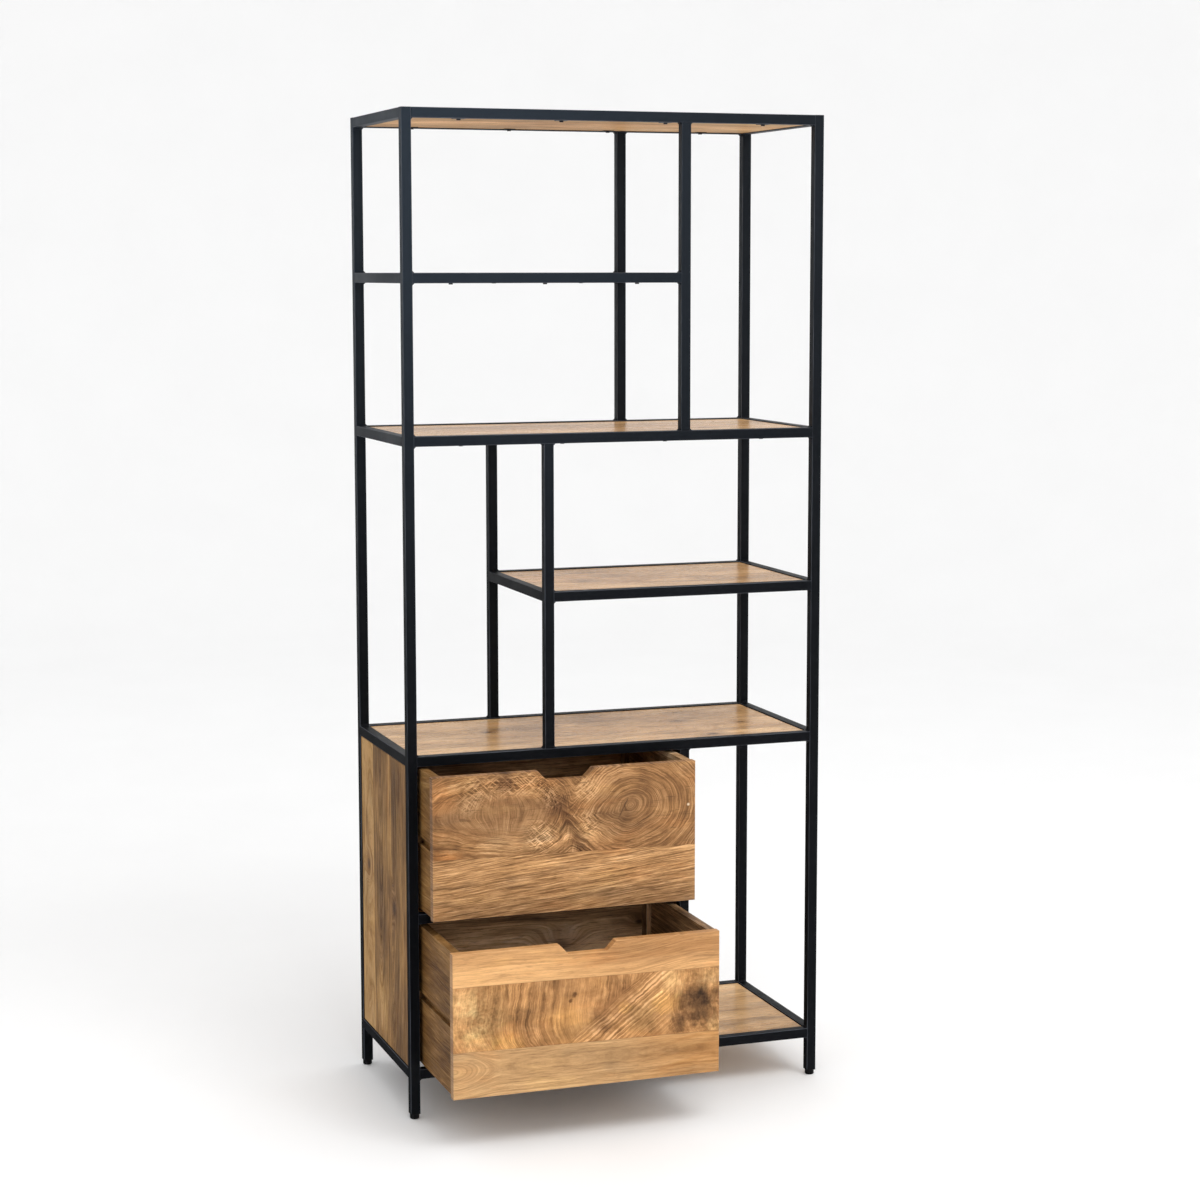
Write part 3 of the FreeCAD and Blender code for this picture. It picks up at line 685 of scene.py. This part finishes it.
steel = coated_steel("frame_steel", (7, 9, 13), (92, 96, 104), 0.44, 0.07)
weld_steel = coated_steel("weld_steel", (8, 10, 14), (30, 32, 36), 0.5, 0.07, 0.3)
plastic = coated_steel("foot_plastic", (8, 8, 9), (40, 40, 42), 0.5, 0.1, 0.4)
screws = screw_metal()
shelf_knots = (
    (-0.198, 0.136, 0.69, 0.013, 0.7),
    (-0.101, 0.133, 0.69, 0.018, 0.0),
    (0.202, 0.125, 0.69, 0.013, 0.3),
    (0.216, -0.031, 0.69, 0.014, 0.85),
    (0.320, 0.078, 0.69, 0.009, 0.6),
    (-0.015, 0.079, 0.99, 0.016, 0.4),
    (0.068, 0.141, 0.99, 0.018, 0.0),
    (0.220, 0.030, 1.29, 0.012, 0.4),
)
side_knots = (
    (0.430, 0.226, -0.41, 0.013, 0.9),
    (0.385, 0.034, -0.41, 0.019, 0.95),
    (0.300, 0.120, 0.137, 0.012, 0.8),
)
back_knots = (
    (-0.082, 0.283, 0.031, 0.016, 0.6),
    (0.084, 0.316, 0.031, 0.007, 0.9),
)
shelf_boards = dict(order="xyz", width=0.125, start=-0.062, tones=SHELF, contrast=0.6, apart=0.25)
shelves = board_wood(
    "shelf_wood", knots=shelf_knots, slim=0.8, gloss=0.06, rough=0.27, **shelf_boards
)
tops = board_wood("top_wood", gloss=0.05, **shelf_boards)
sides = board_wood(
    "side_wood",
    "zyx",
    0.135,
    -0.085,
    SIDE_WITH_PAINTED_SHADE,
    side_knots,
    stagger=0.0,
    gloss=0.08,
    rough=0.59,
    contrast=1.1,
    apart=0.2,
    lift=(0.184, 0.186, 0.36),
    slim=0.8,
)
backs = board_wood("back_wood", "zxy", 0.120, -0.42, SIDE_WITH_PAINTED_SHADE, gloss=0.1, rough=0.58)
drawer_sides = board_wood(
    "drawer_side_wood",
    "yzx",
    0.150,
    0.11,
    DRAWER_SIDE_WITH_PAINTED_SHADE,
    stagger=0.4,
    gloss=0.08,
    rough=0.59,
    contrast=0.7,
)
drawer_walls = board_wood("drawer_wall_wood", "yzx", 0.150, 0.11, INSIDE_WITH_PAINTED_LIGHT, stagger=0.4)
drawer_backs = board_wood(
    "drawer_back_wood",
    "xzy",
    0.140,
    0.11,
    INSIDE_WITH_PAINTED_LIGHT,
    back_knots,
    stagger=0.6,
    contrast=0.85,
    # The rise is painted shade: the lower drawer's back is darker at the top, under the drawer
    # above, and paler lower down.
    lift=(0.350, 0.285, 0.28),
    slim=0.6,
)
drawer_floors = board_wood("drawer_floor_wood", "xyz", 0.400, -0.35, INSIDE_WITH_PAINTED_LIGHT)
blocks = board_wood("block_wood", "zxy", 0.400, -0.60, INSIDE_WITH_PAINTED_LIGHT)

SPECIAL = {
    "upper_drawer_front": upper_front_wood(),
    "lower_drawer_front": lower_front_wood(),
    "left_side_panel": sides,
    "right_side_panel": sides,
    "back_panel": backs,
    "drawer_runners": drawer_sides,
    "foot_plugs": plastic,
    "panel_screws": screws,
    "runner_screws": screws,
}
ENDINGS = (
    ("_post", steel),
    ("_rail", steel),
    ("_rails", steel),
    ("_tabs", steel),
    ("_foot", plastic),
    ("_shelf", shelves),
    ("_panel", tops),
    ("_top", shelves),
    # The drawers' left sides take the darker wood, as painted shade, and their right sides the
    # paler inside wood, as painted light.
    ("drawer_left_side", drawer_sides),
    ("drawer_right_side", drawer_walls),
    ("drawer_back", drawer_backs),
    ("drawer_bottom", drawer_floors),
    ("corner_blocks", blocks),
)
WOODEN = ("_shelf", "_panel", "_top", "_front", "_side", "_back", "_bottom", "blocks", "runners")
EASED_BY = 0.0006
SHARP_ANGLE = math.radians(25)

for name, part in nodes.items():
    material = SPECIAL.get(name) or next(m for ending, m in ENDINGS if name.endswith(ending))
    for slot in part.material_slots:
        slot.material = material
    if name.endswith(WOODEN):
        rounding = part.modifiers.new("eased_edges", "BEVEL")
        rounding.width = EASED_BY
        rounding.segments = 2
        rounding.limit_method = "ANGLE"
        rounding.angle_limit = SHARP_ANGLE


def add_object(name, data):
    """A new object in the scene."""
    thing = bpy.data.objects.new(name, data)
    bpy.context.scene.collection.objects.link(thing)
    return thing


# Weld beads

BEAD_LEG = 0.0045
# How far a bead stops short of the tube's edges, which are rounded.
BEAD_INSET = 0.0016
BEAD_STEPS = 7
# Along the tube and away from it, as shares of the leg; a little of the bead is in both tubes.
BEAD_PROFILE = ((-0.08, -0.08), (1.0, -0.08), (0.62, 0.3), (0.3, 0.62), (-0.08, 1.0))
RIPPLE_OUT, RIPPLE_IN, TAPER = 0.1, -0.06, 0.7
# Side rails to the left of this have the cabinet's side panels between them.
PAST_CABINET = 0.2


def solids(name):
    """Lowest and highest corner of each solid of a node, in the order of its vertices."""
    mesh = bmesh.new()
    mesh.from_mesh(nodes[name].data)
    bmesh.ops.remove_doubles(mesh, verts=mesh.verts, dist=1e-6)
    seen = set()
    for first in mesh.verts:
        if first in seen:
            continue
        seen.add(first)
        rim, points = [first], []
        while rim:
            vert = rim.pop()
            points.append(vert.co)
            around = [edge.other_vert(vert) for edge in vert.link_edges]
            rim += [other for other in around if other not in seen]
            seen.update(around)
        yield Vector(map(min, *points)), Vector(map(max, *points))
    mesh.free()


def add_bead(mesh, start, end, along_tube, away):
    """A rippled fillet from start to end, in the corner between two tubes."""
    rows = []
    for k in range(BEAD_STEPS + 1):
        centre = start.lerp(end, k / BEAD_STEPS)
        ripple = RIPPLE_OUT if k % 2 else RIPPLE_IN
        size = BEAD_LEG * (1.0 + ripple) * (TAPER if k in (0, BEAD_STEPS) else 1.0)
        points = [centre + (along_tube * p + away * q) * size for p, q in BEAD_PROFILE]
        rows.append([mesh.verts.new(point) for point in points])
    for low, high in zip(rows, rows[1:]):
        for k in range(len(BEAD_PROFILE)):
            n = (k + 1) % len(BEAD_PROFILE)
            mesh.faces.new((low[k], low[n], high[n], high[k]))
    mesh.faces.new(rows[0][::-1])
    mesh.faces.new(rows[-1])


def has_bead(name, low, face):
    """Whether a tube of a node has beads on its lower (-1) or upper (1) face: not where a panel is
    in the way or where the weld is ground flush."""
    in_cabinet = low.x < PAST_CABINET
    panel_over = name.startswith("base_side") and in_cabinet and face > 0
    panel_under = name.startswith("cabinet_side") and in_cabinet and face < 0
    panel_behind = name in ("base_back_rail", "cabinet_back_rail")
    ground_flush = name.startswith("top_") and face > 0
    return not (panel_over or panel_under or panel_behind or ground_flush)


def weld_beads():
    """Beads at both ends of the rails and of the posts between them."""
    mesh = bmesh.new()
    tubes = [n for n in nodes if n.endswith(("_rail", "_rails"))]
    for part in ("upper", "lower", "cabinet"):
        tubes += [f"{part}_{face}_post" for face in ("front", "back")]
    for name in tubes:
        for low, high in solids(name):
            size = high - low
            axis = max(range(3), key=lambda k: size[k])
            other = 0 if axis == 2 else 2
            width = 3 - axis - other
            for face in (-1, 1):
                if not has_bead(name, low, face):
                    continue
                for end in (-1, 1):
                    corner = Vector(low)
                    corner[axis] = high[axis] if end > 0 else low[axis]
                    corner[other] = high[other] if face > 0 else low[other]
                    start, stop = corner.copy(), corner.copy()
                    start[width] = low[width] + BEAD_INSET
                    stop[width] = high[width] - BEAD_INSET
                    inward, away = Vector(), Vector()
                    inward[axis] = -end
                    away[other] = face
                    add_bead(mesh, start, stop, inward, away)
    bmesh.ops.recalc_face_normals(mesh, faces=mesh.faces)
    data = bpy.data.meshes.new("weld_beads")
    mesh.to_mesh(data)
    mesh.free()
    data.materials.append(weld_steel)
    beads = add_object("weld_beads", data)
    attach(beads, "frame")


weld_beads()


# Studio

FLOOR_RINGS = (0.02, 2.0, 4.0, 6.0)
CURVE_RADIUS, CURVE_STEPS = 3.0, 12
WALL_HEIGHTS = (5.0, 7.0)
FLOOR_TURNS = 96
# The camera was fitted to the photo, with its focal length in the photo's pixels.
PHOTO_WIDTH, FOCAL_PIXELS, SENSOR = 1200, 2577.91, 36.0
CAMERA_PLACE = (-1.6585, -4.6767, 1.6044)
CAMERA_YAW, CAMERA_PITCH, CAMERA_ROLL = 0.33924, 0.12033, 0.00105


def floor_paint():
    g = Graph("floor_paint")
    x, y, z = g.place()
    mottle = g.noise((x, 3), (y, 3), (z, 3), detail=4.0)
    shade = g.ramp(mottle, (linear(247, 247, 247), linear(251, 251, 251)))
    g.surface.inputs["Specular IOR Level"].default_value = 0.2
    return g.finish(shade, g.span(mottle, 0.3, 0.7, 0.6, 0.75), mottle, 0.0002, 0.2)


def studio():
    """A pale floor that curves up all round."""
    flat = FLOOR_RINGS[-1]
    profile = [(r, 0.0) for r in FLOOR_RINGS]
    for k in range(1, CURVE_STEPS + 1):
        t = k * math.pi / (2 * CURVE_STEPS)
        out, up = CURVE_RADIUS * math.sin(t), CURVE_RADIUS - CURVE_RADIUS * math.cos(t)
        profile.append((flat + out, up))
    profile += [(flat + CURVE_RADIUS, h) for h in WALL_HEIGHTS]
    angles = [2 * math.pi * k / FLOOR_TURNS for k in range(FLOOR_TURNS)]
    verts = [(r * math.cos(a), r * math.sin(a), h) for r, h in profile for a in angles]
    faces = [list(range(FLOOR_TURNS))]
    for row in range(len(profile) - 1):
        for k in range(FLOOR_TURNS):
            a, b = row * FLOOR_TURNS + k, row * FLOOR_TURNS + (k + 1) % FLOOR_TURNS
            faces.append((a + FLOOR_TURNS, b + FLOOR_TURNS, b, a))
    data = bpy.data.meshes.new("floor")
    data.from_pydata(verts, [], faces)
    for polygon in data.polygons:
        polygon.use_smooth = True
    data.materials.append(floor_paint())
    floor = add_object("floor", data)


def area_light(name, place, target, size, watts):
    light = bpy.data.lights.new(name, "AREA")
    light.shape = "RECTANGLE"
    light.size, light.size_y = size
    light.energy = watts
    lamp = add_object(name, light)
    lamp.location = place
    lamp.rotation_euler = (Vector(target) - Vector(place)).to_track_quat("-Z", "Y").to_euler()


def sky(strength):
    world = bpy.data.worlds.new("studio")
    world.use_nodes = True
    back = world.node_tree.nodes["Background"]
    back.inputs["Color"].default_value = (1.0, 1.0, 1.0, 1.0)
    back.inputs["Strength"].default_value = strength
    bpy.context.scene.world = world


def camera():
    """The photo's own place and angle; a larger shift would cut off other views."""
    data = bpy.data.cameras.new("camera")
    data.sensor_width = SENSOR
    data.lens = FOCAL_PIXELS / PHOTO_WIDTH * SENSOR
    data.shift_y = -0.015
    data.clip_end = 60.0
    eye = add_object("camera", data)
    eye.location = CAMERA_PLACE
    eye.rotation_euler = (math.pi / 2 - CAMERA_PITCH, CAMERA_ROLL, -CAMERA_YAW)
    bpy.context.scene.camera = eye


studio()
sky(1.0)
area_light("key", (0.6, -2.8, 4.4), (0.0, 0.0, 0.8), (3.0, 2.0), 86.0)
area_light("fill", (2.6, -4.6, 2.4), (0.0, 0.0, 0.7), (2.0, 2.4), 34.0)
camera()
bpy.context.scene.view_settings.view_transform = "Standard"
